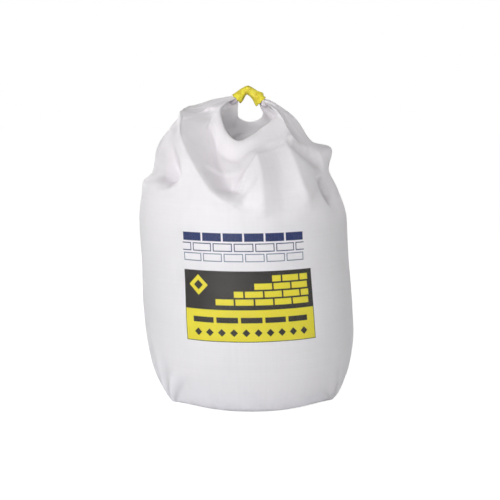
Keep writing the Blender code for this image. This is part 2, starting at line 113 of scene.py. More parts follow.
# Fineness of the cloth
COLUMNS = 360
TENT_STEPS = 96
BODY_ROWS = 36
SHOULDER_ROWS = 13
SHOULDER_FOLDS = 0.8
CLOTH_THICK = 0.0012
HEM_BACK = 0.0003
PRINT_RADIUS = 0.478

# Broad folds: their shape, where they fade out, and how their paths are followed
FOLD_RISE_SHAPE = 1.4
FOLD_FALL_SHAPE = 1.6
FOLDS_END = (0.72, 0.96)
FOLD_MARGIN = 2.6
FOLD_TAPER = (0.22, 0.25)
FOLD_STUB = 0.04
FOLD_PAST = 0.7
OTHER_SIDE_DEPTH = (0.14, 0.24)
PATH_STEPS = 14
PATH_ACROSS = 0.4
PATH_UP = 0.004

# Small folds of the cloth
PLEAT = 0.0016
DENT = 0.0026
DENT_WAVES = 26
DENT_SEED = 11

# Lining with the cement
LINER_COLUMNS = 180
LINER_RINGS = 26
LINER_EDGE = 0.845
LINER_DOME = 0.105
LINER_GAP = 0.0008
LINER_FOOT_GAP = 0.004
LINER_FOOT_HEIGHTS = (0.15, 0.25)

# Sleeve and rope, fineness and crumples; a lump or belly is its place along X, reach and height
SLEEVE_RINGS = 90
SLEEVE_SIDES = 96
SLEEVE_RUFFLE = 0.0022
SLEEVE_SEED = 5
RUFFLE_WAVES = 14
SLEEVE_FLARE = 0.003
SLEEVE_FLARE_REACH = 0.011
SLEEVE_CLEAR = 0.0036
SLEEVE_LUMPS = ((0.037, 0.008, 0.006), (0.0465, 0.0035, -0.003), (0.012, 0.012, -0.003),
                (-0.036, 0.014, -0.004), (-0.011, 0.007, 0.002))
SLEEVE_BELLIES = ((-0.056, 0.014, 0.008), (0.046, 0.015, 0.009))
SLEEVE_RIPPLE = 0.0012
SLEEVE_RIPPLE_LONG = 0.011
SLEEVE_RIPPLE_REACH = 0.02
SLEEVE_DEEPEST = 0.0022
FRAY_REACH = 0.004
ROPE_RINGS = 24
ROPE_SIDES = 72
ROPE_PLEATS = 14
ROPE_PLEAT = 0.16
ROPE_INSET = 0.0022
ROPE_TAPER = ((0.012, 0.97), (0.024, 0.8), (0.034, 0.5))
ROPE_RING_CLOTH = 0.008
ROPE_GIRTH_CLOTH = 0.14
ROPE_END_CLOTH = -0.3

# Base of the fabric, from the middle outwards
BASE_RINGS = (0.3, 0.6, 0.85)
BASE_RING_CLOTH = (-0.24, -0.14, -0.05)

# Weave, in metres
CLOTH_TAPE = 0.003
SLEEVE_TAPE = 0.0024

# Print on the front: metres across from the middle, and up the cloth
PRINT_SOFT = 0.0011
PRINT_RAGGED = 0.0016
# bricks: left, right, low, height of a course, length of a brick
COURSES_BOX = (-0.276, 0.279, 0.681, 0.0435, 0.0925)
COURSE_JOINT = 0.008
COURSE_LINE = 0.0042
PANEL_BOX = (-0.276, 0.311, 0.341, 0.646)  # left, right, low, high
PANEL_SPLIT = 0.48
PANEL_LINE = 0.0035
WALL_BOX = (-0.136, 0.289, 0.4965, 0.0335, 0.085)  # bricks
WALL_JOINT = 0.0075
WALL_STEP = 0.085
LOZENGE = (-0.208, 0.584, 0.044, 0.021)  # middle, outer reach, inner reach
BARS_BOX = (-0.243, 0.278, 0.424, 0.448, 0.1042)  # left, right, low, high, length of a bar
BAR_GAP = 0.006
# row of small ones: left, right, middle, length of one, reach
DIAMONDS_ROW = (-0.243, 0.278, 0.3815, 0.0521, 0.017)

# Colours, linear
WHITE = (1.0, 1.0, 1.0, 1.0)
CLOTH_HIGH = (0.9, 0.815, 0.905, 1.0)
CLOTH_LOW = (0.8, 0.795, 0.9, 1.0)
CLOTH_CLOUD = (0.86, 0.8, 0.87, 1.0)
CLOTH_RUBBED = (0.62, 0.62, 0.63, 1.0)
CEMENT_DUST = (0.56, 0.55, 0.53, 1.0)
CEMENT_DARK = (0.6, 0.6, 0.59, 1.0)
CEMENT_LIGHT = (0.76, 0.76, 0.75, 1.0)
NAVY = (0.003, 0.014, 0.093, 1.0)
SLATE = (0.13, 0.16, 0.24, 1.0)
CHARCOAL = (0.011, 0.009, 0.006, 1.0)
INK_YELLOW = (0.776, 0.602, 0.018, 1.0)
SLEEVE_BRIGHT = (0.679, 0.607, 0.047, 1.0)
# deeper orange yellow of the sleeve: painted shade of its creases and of the gaps of its weave
SLEEVE_PAINTED_SHADE = (0.49, 0.342, 0.017, 1.0)
SLEEVE_RUBBED = (0.8, 0.72, 0.25, 1.0)
FLOOR_LIT = (0.85, 0.85, 0.85, 1.0)
FLOOR_SEEN = (0.35, 0.35, 0.35, 1.0)

# How deep light runs through the white cloth
CLOTH_SUBSURFACE = 0.0082

# Kinds of sockets of the shared groups
VECTOR, NUMBER, COLOUR = "NodeSocketVector", "NodeSocketFloat", "NodeSocketColor"


def add_object(name, data, place=(0, 0, 0), aim=None):
    """New object of the scene, turned from its place towards the aim where there is one."""
    made = bpy.data.objects.new(name, data)
    bpy.context.scene.collection.objects.link(made)
    made.location = place
    if aim is not None:
        made.rotation_euler = (Vector(aim) - Vector(place)).to_track_quat("-Z", "Y").to_euler()
    return made


def make_camera():
    data = bpy.data.cameras.new("camera")
    data.sensor_width = CAMERA_SENSOR
    data.lens = CAMERA_LENS
    bpy.context.scene.camera = add_object("camera", data, CAMERA_PLACE, CAMERA_AIM)


def loop_curve(stations, angles):
    """Smooth closed curve through stations of (angle, values), read at the angles."""
    keys = np.array([s[0] for s in stations], float)
    values = np.array([s[1:] for s in stations], float)
    keys = np.concatenate([keys[-2:] - 360.0, keys, keys[:3] + 360.0])
    values = np.concatenate([values[-2:], values, values[:3]])
    slope = (values[2:] - values[:-2]) / (keys[2:] - keys[:-2])[:, None]
    wrapped = np.where(angles < keys[2], angles + 360.0, angles)
    seat = np.clip(np.searchsorted(keys, wrapped, side="right") - 1, 1, len(keys) - 3)
    span = (keys[seat + 1] - keys[seat])[:, None]
    s = (wrapped - keys[seat])[:, None] / span
    start, end = values[seat], values[seat + 1]
    out, into = slope[seat - 1] * span, slope[seat] * span
    rise = s * s * (3 - 2 * s)
    return start + (end - start) * rise + out * s * (1 - s) ** 2 - into * s * s * (1 - s)


def ease(low, high, value):
    s = np.clip((value - low) / (high - low), 0.0, 1.0)
    return s * s * (3 - 2 * s)


def bell(away, reach=1.0):
    """1 in the middle, fading alike to both sides."""
    return np.exp(-(away / reach) ** 2)


def unit(vectors):
    return vectors / np.maximum(np.linalg.norm(vectors, axis=-1, keepdims=True), 1e-9)


def turn_between(angle, centre):
    """Signed degrees from centre to angle, within half a turn."""
    return (angle - centre + 180.0) % 360.0 - 180.0


def lean(z):
    """How far the middle of the bag is moved along X at height z."""
    return TOP_LEAN * ease(*TOP_LEAN_HEIGHTS, z) + FOOT_LEAN * (1 - ease(*FOOT_LEAN_HEIGHTS, z))


def ear_share(angle):
    """1 at the tip of an ear of the bottom seam, fading to 0 beside it."""
    share = np.zeros_like(angle)
    for tip in EAR_ANGLES:
        away = np.hypot(turn_between(angle, tip), EAR_POINT) - EAR_POINT
        share = np.maximum(share, np.exp(-away / EAR_SPREAD))
    return share


def body_radius(angle, z):
    """Distance of the fabric from the leaning middle line, below the shoulder."""
    ear = ear_share(angle)
    foot = BASE_RADIUS + EAR_REACH * ear
    up = np.clip(z / BULGE_HEIGHT, 0.0, 1.0)
    round_foot = (1.0 - (1.0 - up) ** 2) ** (0.5 + EAR_SLIM * ear)
    belly = BULGE_RADIUS - (BULGE_RADIUS - NECKING_RADIUS) * ease(*NECKING_HEIGHTS, z)
    radius = foot + (belly - foot) * round_foot
    radius = radius - SHOULDER_INSET * ease(*SHOULDER_INSET_HEIGHTS, z)
    waves = sum(size * np.sin(count * np.radians(angle) + climb * z + start)
                for count, climb, start, size in BODY_WAVES)
    return radius + waves * ease(*BODY_WAVES_HEIGHTS, z)


def shoulder_turn(angle, z):
    """How far the filled body turns inwards below the shoulder, to run on into the slack part."""
    pull = loop_curve(SHOULDER_PULL, angle)
    slope = pull[:, 0] / pull[:, 1] - SHOULDER_SLOPE
    past = np.maximum(z - (SHOULDER_HEIGHT - SHOULDER_TURN), 0.0)
    return slope * past * past / (2 * SHOULDER_TURN)


def body_point(angle, z):
    turn = np.radians(angle)
    radius = body_radius(angle, z) - shoulder_turn(angle, z)
    x = lean(z) + radius * np.cos(turn)
    return np.stack([x, radius * np.sin(turn), np.broadcast_to(z, x.shape)], axis=-1)


def rope_frame(x):
    """Middle of the two-legged rope over x, its direction to the right and its upward normal."""
    reach = ROPE_SLOPE * (x - ROPE_APEX[0])
    rounded = np.hypot(ROPE_BEND, reach)
    slope = -ROPE_SLOPE * reach / rounded
    along = unit(np.array([1.0, 0.0, slope]))
    up = np.array([-along[2], 0.0, along[0]])
    return np.array([x, 0.0, ROPE_APEX[1] + ROPE_BEND - rounded]), along, up


def rope_ring(x, turns, thick, wide):
    """Points round the rope at x, from its top over its front, and the rope's direction there."""
    middle, along, up = rope_frame(x)
    ring = middle + np.outer(thick * np.cos(turns), up)
    return ring + np.outer(wide * np.sin(turns), (0.0, -1.0, 0.0)), along


def neck(x, phi):
    """Point of the fabric on the rope at x; phi is 0 on top and 90 at the front."""
    return rope_ring(x, np.radians([phi]), ROPE_THICK, ROPE_WIDE)[0][0]


# Where the fabric enters the sleeve: degrees round the bag, and degrees round the rope for each
LEFT_RING = ((145.0, 162.0, 182.0, 202.0, 217.0), (-150.0, -75.0, 0.0, 45.0, 90.0))
RIGHT_RING = ((333.0, 346.0, 360.0, 378.0, 394.0), (90.0, 45.0, 0.0, -70.0, -150.0))
LEFT_NECK, RIGHT_NECK = SLEEVE_LEFT - NECK_CLEAR, SLEEVE_RIGHT + NECK_CLEAR

# Top edge of the slack fabric: angle, point, and the way the fabric leaves it
TOP_EDGE = (
    (0, *neck(RIGHT_NECK, 0), 0.1, 0.02, -0.02),
    (18, *neck(RIGHT_NECK, -70), 0.08, 0.11, -0.05),
    (34, *neck(RIGHT_NECK, -150), 0.035, 0.07, -0.06),
    (44, 0.06, 0.085, 1.296, 0.03, 0.09, -0.09),
    (60, 0.042, 0.135, 1.266, 0.02, 0.1, -0.1),
    (85, -0.004, 0.158, 1.254, 0.00, 0.11, -0.1),
    (110, -0.043, 0.128, 1.268, -0.02, 0.1, -0.1),
    (130, -0.056, 0.08, 1.288, -0.04, 0.09, -0.08),
    (145, *neck(LEFT_NECK, -150), -0.09, 0.07, -0.05),
    (162, *neck(LEFT_NECK, -75), -0.18, 0.12, -0.04),
    (182, *neck(LEFT_NECK, 0), -0.3, 0.01, -0.035),
    (202, *neck(LEFT_NECK, 45), -0.25, -0.05, -0.03),
    (217, *neck(LEFT_NECK, 90), -0.19, -0.07, 0.000),
    (231, -0.108, -0.082, 1.342, -0.1, -0.08, -0.015),
    (241, -0.128, -0.112, 1.309, -0.04, -0.09, -0.04),
    (250, -0.12, -0.15, 1.266, -0.01, -0.09, -0.05),
    (260, -0.096, -0.19, 1.216, 0.00, -0.09, -0.06),
    (269, -0.055, -0.22, 1.185, 0.00, -0.09, -0.06),
    (279, -0.008, -0.217, 1.2, 0.01, -0.09, -0.07),
    (291, 0.045, -0.19, 1.236, 0.02, -0.09, -0.08),
    (303, 0.092, -0.15, 1.268, 0.03, -0.09, -0.08),
    (312, 0.116, -0.116, 1.294, 0.05, -0.09, -0.06),
    (321, 0.092, -0.084, 1.325, 0.07, -0.07, -0.015),
    (333, *neck(RIGHT_NECK, 90), 0.11, -0.05, -0.01),
    (346, *neck(RIGHT_NECK, 45), 0.1, -0.03, -0.02),)


def ring_points(angle, ring, end, inward, tuck):
    """Points round the rope at one end of the sleeve, tucked in except beside the slits."""
    beside = np.minimum(angle - ring[0][0], ring[0][-1] - angle)
    depth = inward * (tuck * ease(0.0, TUCK_FADE, beside) - NECK_CLEAR)
    phis = np.interp(angle, *ring)
    return np.array([neck(end + d, phi) for d, phi in zip(depth, phis)]).reshape(-1, 3)


def edge_at(angle, tuck):
    """Top edge at the angles, its rings moved into the sleeve by tuck along X."""
    edge = loop_curve(TOP_EDGE, angle)
    late = np.where(angle < 180.0, angle + 360.0, angle)
    for turn, ring, end, inward in ((angle, LEFT_RING, SLEEVE_LEFT, 1.0),
                                    (late, RIGHT_RING, SLEEVE_RIGHT, -1.0)):
        inside = (turn >= ring[0][0]) & (turn <= ring[0][-1])
        edge[inside, :3] = ring_points(turn[inside], ring, end, inward, tuck)
    return edge


def tent_points(angle, steps):
    """Slack fabric at the angles, each at its step from the shoulder, 0, to the top edge, 1."""
    start = body_point(angle, np.full_like(angle, SHOULDER_HEIGHT))
    edge = edge_at(angle, 0.0)
    end, leave = edge[:, :3], edge[:, 3:6]
    pull = loop_curve(SHOULDER_PULL, angle)
    turn = np.radians(angle)
    rise = np.stack([-pull[:, 0] * np.cos(turn), -pull[:, 0] * np.sin(turn), pull[:, 1]], axis=1)
    s = steps[:, None]
    weights = ((1 - s) ** 3, 3 * (1 - s) ** 2 * s, 3 * (1 - s) * s ** 2, s ** 3)
    corners = (start, start + rise, end + leave, end)
    return sum(w * c for w, c in zip(weights, corners))


# Folds of the slack fabric. Each is a crest that runs over the surface through its stations,
# (angle, level). Seen from outside and looking along the path, the cloth rises on the left of the
# crest to the first height over the first reach, and falls on the right within the second reach to
# the second height below the smooth cloth, which it meets again over the third. The last is the
# roundness of the crest. A path down the front has its fall on the image's right. Heights and
# reaches are in millimetres, one number or several spread along the path.
FOLDS = (
    ("front left lip", ((177, 0.84), (186, 0.78), (196, 0.71), (205, 0.65), (213, 0.6),
      (222, 0.53), (231, 0.45), (238.5, 0.37), (244.5, 0.3), (251, 0.2), (256, 0.12), (261, 0.05),
      (267, -0.005), (273, -0.03)),
     (6, 52, 46, 36, 28), (26, 28, 32, 35, 35), (12, 34, 62, 60, 36), (110, 130, 130, 90, 50),
     (100, 120, 110, 80, 50), 10),
    ("left facet edge", ((234, 0.15), (232.5, 0.28), (227.5, 0.36), (219, 0.43), (209.5, 0.49),
      (192, 0.55)),
     (20, 40, 40, 30, 18), 50, 60, 70, 60, 10),
    ("left shoulder shelf", ((165, 0.1), (180, 0.11), (195, 0.12), (208.5, 0.14), (218.5, 0.16),
      (227, 0.17), (236, 0.18)),
     6, 40, 24, 40, 80, 10),
    ("hanging crease", ((272, 0.56), (266, 0.535), (259, 0.48), (252, 0.42), (246, 0.39)),
     3, 40, (2, 6, 10), 22, 50, 10),
    ("middle ridge", ((279, 0.79), (281, 0.68), (282, 0.57), (282, 0.44), (281.5, 0.31),
      (281, 0.18), (281, 0.06), (281.5, -0.02), (282, -0.06)),
     26, (25, 65), (4, 8, 12, 10), 100, 60, 10),
    ("front right ridge", ((304.5, 0.72), (307.5, 0.65), (307.5, 0.57), (306.5, 0.47),
      (305.5, 0.34), (305.5, 0.22), (307, 0.1), (309, 0.01), (311.5, -0.05)),
     (12, 26, 28, 24, 14), 40, 4, 150, 80, 10),
    ("front right crease", ((350, 0.4), (343, 0.425), (335, 0.45), (325, 0.52), (318, 0.6),
      (313, 0.7)),
     (4, 3), 30, (40, 42, 34, 14), 45, 60, 12),
    ("right pit edge", ((321, 0.21), (322.5, 0.12), (324.5, 0.03), (327, -0.03)),
     8, 30, 36, 32, 70, 10),
    ("left side lip", ((166, 0.74), (160, 0.46), (156, 0.2), (150, -0.02)),
     18, 50, 28, 60, 60, 10),
    ("rear left lip", ((140, 0.8), (132, 0.52), (126, 0.24), (120, -0.02)),
     18, 50, 34, 90, 60, 10),
    ("rear swag", ((118, 0.44), (110, 0.52), (101, 0.5)),
     8, 30, 14, 20, 50, 10),
    ("rear middle ridge", ((104, 0.78), (100, 0.5), (97, 0.22), (99, -0.02)),
     20, 50, 34, 90, 60, 10),
    ("rear right lip", ((60, 0.82), (58, 0.52), (62, 0.24), (56, -0.02)),
     20, 60, 34, 90, 60, 10),
    ("right side lip", ((20, 0.78), (18, 0.5), (24, 0.22), (20, -0.02)),
     16, 50, 24, 60, 60, 10),
    ("rear shoulder shelf", ((118, 0.1), (135, 0.08), (150, 0.1)),
     6, 40, 16, 40, 50, 10),
)

# Broad swells and hollows of the slack fabric: angle, level, how far each reaches in degrees and
# in level, and the height in metres, which is negative for a hollow.
SWELLS = (
    ("left facet hollow", 190, 0.27, 22, 0.12, -0.008),
    ("left brow", 178, 0.52, 14, 0.1, -0.013),
    ("front basin", 262, 0.24, 9, 0.12, -0.014),
    ("right arm", 8, 0.64, 16, 0.16, 0.014),
    ("right arm groove", 334, 0.6, 14, 0.15, -0.03),
    ("right knuckle", 10, 0.325, 20, 0.08, 0.068),
    ("right waist", 350, 0.22, 14, 0.06, -0.006),
    ("right shoulder pit", 333, 0.1, 9, 0.11, -0.026),
    ("rear hollow", 79, 0.42, 10, 0.22, -0.012),
)


def along_path(value, share):
    """A fold's measure in metres at each share of its path."""
    spread = np.atleast_1d(value) / 1000
    return np.interp(share, np.linspace(0.0, 1.0, len(spread)), spread)


def cloth_point(angle, level):
    """Point of the smooth fabric, before its folds."""
    below = body_point(angle, SHOULDER_HEIGHT + np.minimum(level, 0.0))
    above = tent_points(angle, np.maximum(level, 0.0))
    return np.where((level < 0)[:, None], below, above)


def normals_of(grid):
    """Outward unit normals of a grid of points whose rows run round the bag."""
    across = np.roll(grid, -1, axis=1) - np.roll(grid, 1, axis=1)
    return unit(np.cross(across, np.gradient(grid, axis=0)))


def smooth_read(values, reads):
    """Smooth curve through values at 0, 1, 2 and so on, read at the given places."""
    values = np.asarray(values, float)
    ends = np.concatenate([[2 * values[0] - values[1]], values, [2 * values[-1] - values[-2]]])
    seat = np.clip(reads.astype(int), 0, len(values) - 2)
    s = reads - seat
    a, b, c, d = (ends[seat + k] for k in range(4))
    return b + 0.5 * s * (c - a + s * (2 * a - 5 * b + 4 * c - d + s * (3 * (b - c) + d - a)))


def path_points(stations):
    """Points along a fold on the smooth fabric, with their directions and normals."""
    last = len(stations) - 1
    reads = np.linspace(0.0, last, PATH_STEPS * last + 1)
    angles = np.unwrap([s[0] for s in stations], period=360.0)
    at = smooth_read(angles, reads) % 360.0
    levels = smooth_read([s[1] for s in stations], reads)
    points = cloth_point(at, levels)
    right, left = ((at + way * PATH_ACROSS) % 360.0 for way in (1, -1))
    across = cloth_point(right, levels) - cloth_point(left, levels)
    upward = cloth_point(at, levels + PATH_UP) - cloth_point(at, levels - PATH_UP)
    return points, unit(np.gradient(points, axis=0)), unit(np.cross(across, upward))


def fold_lift(points_in, normals, fold):
    """Lift of each point of the fabric along its normal made by one fold."""
    _, stations, *measures = fold
    rise, fall, rest = (np.max(measures[k]) for k in (1, 3, 4))
    margin = max(FOLD_MARGIN * rise, fall + FOLD_MARGIN * rest) / 1000
    points, along, normal = path_points(stations)
    low, high = points.min(axis=0) - margin, points.max(axis=0) + margin
    inside = np.all((points_in > low) & (points_in < high), axis=-1)
    offset = points_in[inside][:, None, :] - points
    near = np.argmin((offset ** 2).sum(axis=-1), axis=-1)
    from_path = np.take_along_axis(offset, near[:, None, None], axis=1)[:, 0, :]
    forward, outward = along[near], normal[near]
    side = (np.cross(outward, forward) * from_path).sum(axis=-1)
    past = (forward * from_path).sum(axis=-1)
    depth = np.abs((outward * from_path).sum(axis=-1))
    share = near / (len(points) - 1)
    crest, rise, trough, fall, rest, rounded = (along_path(value, share) for value in measures)
    taper = ease(0.0, FOLD_TAPER[0], share + FOLD_STUB)
    taper = taper * ease(0.0, FOLD_TAPER[1], 1.0 + FOLD_STUB - share)
    down = 0.5 * (side + np.hypot(side, rounded))
    drop = 1.0 - (1.0 - np.clip(down / fall, 0.0, 1.0)) ** FOLD_FALL_SHAPE
    left = crest * np.exp(-(np.maximum(-side, 0.0) / rise) ** FOLD_RISE_SHAPE)
    right = trough * bell(np.maximum(down - fall, 0.0), rest)
    lift = left * (1 - drop) - right * drop
    same_side = ease(0.0, 0.5, (outward * normals[inside]).sum(axis=-1))
    same_side = same_side * (1 - ease(*OTHER_SIDE_DEPTH, depth))
    total = np.zeros(points_in.shape[:-1])
    total[inside] = lift * taper * same_side * bell(past, FOLD_PAST * rise)
    return total


def swell_lift(angles, level, swell):
    """Lift of each point of the rows made by one broad swell or hollow."""
    _, centre, middle, wide, high, height = swell
    across, upward = bell(turn_between(angles, centre), wide), bell(level - middle, high)
    return height * across[None, :] * upward[:, None]


def pleat_lift(angles, level):
    """Fine pleats that run into the sleeve from both sides, and fade out below."""
    total = 0.0
    for ring, count, phase in ((LEFT_RING, 9, 0.4), (RIGHT_RING, 8, 1.9)):
        middle, half = 0.5 * (ring[0][0] + ring[0][-1]), 0.5 * (ring[0][-1] - ring[0][0])
        across = turn_between(angles, middle) / half
        near = bell(np.maximum(np.abs(across) - 0.75, 0.0), 0.22)
        wander = across[None, :] + 0.05 * np.sin(7.0 * level[:, None] + 3.0 * across[None, :])
        wave = np.sin(math.pi * count * wander + phase) + 0.5 * np.sin(
            math.pi * 1.7 * count * wander + 2.2 * phase)
        fade = ease(0.4, 0.9, level) * (1 - 0.65 * ease(0.88, 1.0, level))
        total += PLEAT * wave * near[None, :] * fade[:, None]
    return total


def dent_lift(angles, level):
    """Slow dents and slight creases of cloth that is pressed out by powder."""
    seeded = np.random.default_rng(DENT_SEED)
    turn = np.radians(angles)[None, :]
    height = (level + SHOULDER_HEIGHT)[:, None]
    total = 0.0
    for _ in range(DENT_WAVES):
        around = int(seeded.integers(3, 17))
        upward = seeded.uniform(4.0, 26.0) * seeded.choice((-1.0, 1.0))
        phase = seeded.uniform(0.0, 2 * math.pi)
        size = seeded.uniform(0.5, 1.0) / math.hypot(around / 6.0, upward / 12.0)
        total += size * np.sin(around * turn + upward * height + phase)
    total *= DENT / math.sqrt(DENT_WAVES)
    return total * ease(0.0, 0.1, height)


def ear_lift(angles, level):
    """Short pinches that run out of the two corners of the bottom seam."""
    height = (level + SHOULDER_HEIGHT)[:, None]
    up = height / EAR_PINCH_HIGH
    total = 0.0
    for tip in EAR_ANGLES:
        away = turn_between(angles, tip)[None, :] / EAR_PINCH_WIDE
        fan_turn, reach = np.arctan2(away, up + 0.05), np.hypot(away, up)
        total += EAR_PINCH * np.sin(11.0 * fan_turn + 0.6) * reach * bell(reach)
    return total * ease(0.0, 0.03, height)


def body_heights():
    """Heights of the rows below the shoulder, close together at the foot and at the shoulder."""
    share = np.linspace(0.0, 1.0, BODY_ROWS - SHOULDER_ROWS + 1)[:-1]
    low = SHOULDER_FOLDS * (0.35 * share + 0.65 * share ** 1.7)
    return np.concatenate([low, np.linspace(SHOULDER_FOLDS, SHOULDER_HEIGHT, SHOULDER_ROWS)])


def bag_rows(angles):
    """Outer skin of the fabric from the edge of the base up, with the level of each row."""
    steps = np.linspace(0.0, 1.0, TENT_STEPS + 1)[1:]
    level = np.concatenate([body_heights() - SHOULDER_HEIGHT, steps])
    grid = np.array([cloth_point(angles, np.full_like(angles, row)) for row in level])
    normals = normals_of(grid)
    lifts = [fold_lift(grid, normals, fold) for fold in FOLDS]
    lifts += [swell_lift(angles, level, swell) for swell in SWELLS]
    lift = sum(lifts) * (1 - ease(*FOLDS_END, level))[:, None]
    lift += pleat_lift(angles, level) + ear_lift(angles, level)
    lift += dent_lift(angles, level) * (1 - ease(0.8, 0.97, level))[:, None]
    return grid + lift[..., None] * normals, level


def ring_numbers(columns):
    """Numbers of the points of a ring, and of the next ones round it."""
    here = np.arange(columns)
    return here, (here + 1) % columns


def band(low, high, columns):
    """Four-sided faces between two rings, given by the numbers of their first points."""
    here, after = ring_numbers(columns)
    return np.stack([low + here, low + after, high + after, high + here], axis=-1)


def rows_to_faces(rows, columns):
    """Four-sided faces between the rows of a grid that closes on itself."""
    return np.concatenate([band(row * columns, (row + 1) * columns, columns)
                           for row in range(rows - 1)])


def fan(tip, first, second):
    """Three-sided faces from the tip to the sides of a ring."""
    return np.stack([np.full(len(first), tip), first, second], axis=-1)


def make_mesh(name, points, faces, look, uvs=None):
    """Mesh piece with smooth shading; uvs holds one pair for each corner of each face."""
    data = bpy.data.meshes.new(name)
    data.from_pydata([tuple(p) for p in points], [], [tuple(int(i) for i in f) for f in faces])
    data.materials.append(look)
    if uvs is not None:
        layer = data.uv_layers.new(name="cloth")
        layer.data.foreach_set("uv", np.asarray(uvs, np.float32).ravel())
    data.polygons.foreach_set("use_smooth", [True] * len(data.polygons))
    data.update()
    return add_object(name, data)


def make_closed(name, rings, look, uvs=None):
    """Mesh piece of a stack of rings, with a fan over each end."""
    here, after = ring_numbers(len(rings[0]))
    tip = len(rings) * len(here)
    last = tip - len(here)
    faces = [*rows_to_faces(len(rings), len(here)), *fan(tip, after, here),
             *fan(tip + 1, last + here, last + after)]
    points = np.concatenate(rings + [[rings[0].mean(axis=0), rings[-1].mean(axis=0)]])
    return make_mesh(name, points, faces, look, uvs)


def corner_uvs(left, right, along):
    """Corner coordinates for rows_to_faces: the sides of each column, and along for each row."""
    shape = (len(along) - 1, len(left), 4)
    u = np.stack([left, right, right, left], axis=-1)
    v = np.stack([along[:-1], along[:-1], along[1:], along[1:]], axis=-1)[:, None, :]
    return np.stack([np.broadcast_to(u, shape), np.broadcast_to(v, shape)], axis=-1).reshape(-1, 2)


def bag_uvs(height):
    """Corner coordinates of the bag in metres: across from the front, and up the cloth."""
    left = turn_between(np.arange(COLUMNS) * 360.0 / COLUMNS, 270.0)
    scale = math.radians(1.0) * PRINT_RADIUS
    return corner_uvs(left * scale, (left + 360.0 / COLUMNS) * scale, height)


def tube_uvs(sides, along, girth):
    """Corner coordinates of a tube in metres: round the tube, and along it."""
    here = np.arange(sides)
    return corner_uvs(here * girth / sides, (here + 1) * girth / sides, along)


def turned(uvs):
    """Corner coordinates for four-sided faces whose corners are taken in reverse."""
    return uvs.reshape(-1, 4, 2)[:, ::-1].reshape(-1, 2)


class Graph:
    """Adds linked nodes to one node tree."""

    def __init__(self, tree):
        self.tree = tree

    def link(self, value, socket):
        if isinstance(value, bpy.types.NodeSocket):
            self.tree.links.new(value, socket)
        else:
            socket.default_value = value

    def fill(self, node, inputs):
        """Link or set inputs of a node, given by their names or numbers."""
        for name, value in inputs.items():
            self.link(value, node.inputs[name])
        return node

    def node(self, kind, inputs=None, **settings):
        made = self.tree.nodes.new(kind)
        for name, value in settings.items():
            setattr(made, name, value)
        return self.fill(made, inputs or {})

    def parts(self, vector):
        return self.node("ShaderNodeSeparateXYZ", {0: vector}).outputs

    def math(self, operation, *values, clamp=False):
        made = self.node("ShaderNodeMath", dict(enumerate(values)), operation=operation,
                         use_clamp=clamp)
        return made.outputs[0]

    def product(self, first, *others):
        for other in others:
            first = self.math("MULTIPLY", first, other)
        return first

    def above(self, value, edge, way=1.0):
        """0 below the edge and 1 above it, or the other way round, as soft as the print."""
        return self.math("MULTIPLY_ADD", value, way / PRINT_SOFT, 0.5 - way * edge / PRINT_SOFT,
                         clamp=True)

    def between(self, value, low, high):
        return self.product(self.above(value, low), self.above(value, high, -1.0))

    def box(self, u, v, left, right, low, high):
        return self.product(self.between(u, left, right), self.between(v, low, high))

    def repeat(self, value, start, long):
        """Place within each repeat of a pattern that begins at the start."""
        return self.math("FLOORED_MODULO", self.math("SUBTRACT", value, start), long)

    def lozenges(self, u, v, middle_u, middle_v):
        """Distance from the middle whose lines of one height are lozenges."""
        return self.math("ADD", self.math("ABSOLUTE", self.math("SUBTRACT", u, middle_u)),
                         self.math("ABSOLUTE", self.math("SUBTRACT", v, middle_v)))

    def mix(self, share, first, second):
        made = self.node("ShaderNodeMix", {"Factor": share, 6: first, 7: second}, data_type="RGBA")
        return made.outputs[2]

    def toned(self, colour, tone):
        made = self.node("ShaderNodeVectorMath", {0: colour, "Scale": tone}, operation="SCALE")
        return made.outputs[0]

    def noise(self, vector, scale, detail, roughness=0.5, stretch=None):
        if stretch is not None:
            vector = self.node("ShaderNodeMapping", {"Vector": vector, "Scale": stretch}).outputs[0]
        made = self.node("ShaderNodeTexNoise", {"Vector": vector, "Scale": scale,
                                                "Detail": detail, "Roughness": roughness})
        return made.outputs["Fac"]

    def spread(self, value, low, high, to_low, to_high):
        """The value's range from low to high turned into another range, smooth at its ends."""
        made = self.node("ShaderNodeMapRange", {"Value": value, "From Min": low, "From Max": high,
                                                "To Min": to_low, "To Max": to_high},
                         interpolation_type="SMOOTHSTEP")
        return made.outputs[0]

    def bump(self, height, distance, strength, under=None):
        inputs = {"Height": height, "Distance": distance, "Strength": strength}
        if under is not None:
            inputs["Normal"] = under
        return self.node("ShaderNodeBump", inputs).outputs[0]

    def use(self, group, **values):
        """Outputs of a shared group, its inputs given by their names with _ for a space."""
        inputs = {name.replace("_", " "): value for name, value in values.items()}
        return self.node("ShaderNodeGroup", inputs, node_tree=group).outputs

    def show_to_camera(self, seen, lit, end):
        """The camera sees one shader, and the light meets the other."""
        share = self.node("ShaderNodeLightPath").outputs["Is Camera Ray"]
        mix = self.node("ShaderNodeMixShader", {0: share, 1: lit.outputs[0], 2: seen.outputs[0]})
        self.link(mix.outputs[0], self.tree.nodes[end].inputs[0])


def new_group(name, inputs, outputs):
    """Empty shader node group with named sockets, and its graph, inputs and output node."""
    tree = bpy.data.node_groups.new(name, "ShaderNodeTree")
    for side, sockets in (("INPUT", inputs), ("OUTPUT", outputs)):
        for label, kind in sockets.items():
            tree.interface.new_socket(name=label, in_out=side, socket_type=kind)
    graph = Graph(tree)
    return tree, graph, graph.node("NodeGroupInput").outputs, graph.node("NodeGroupOutput")


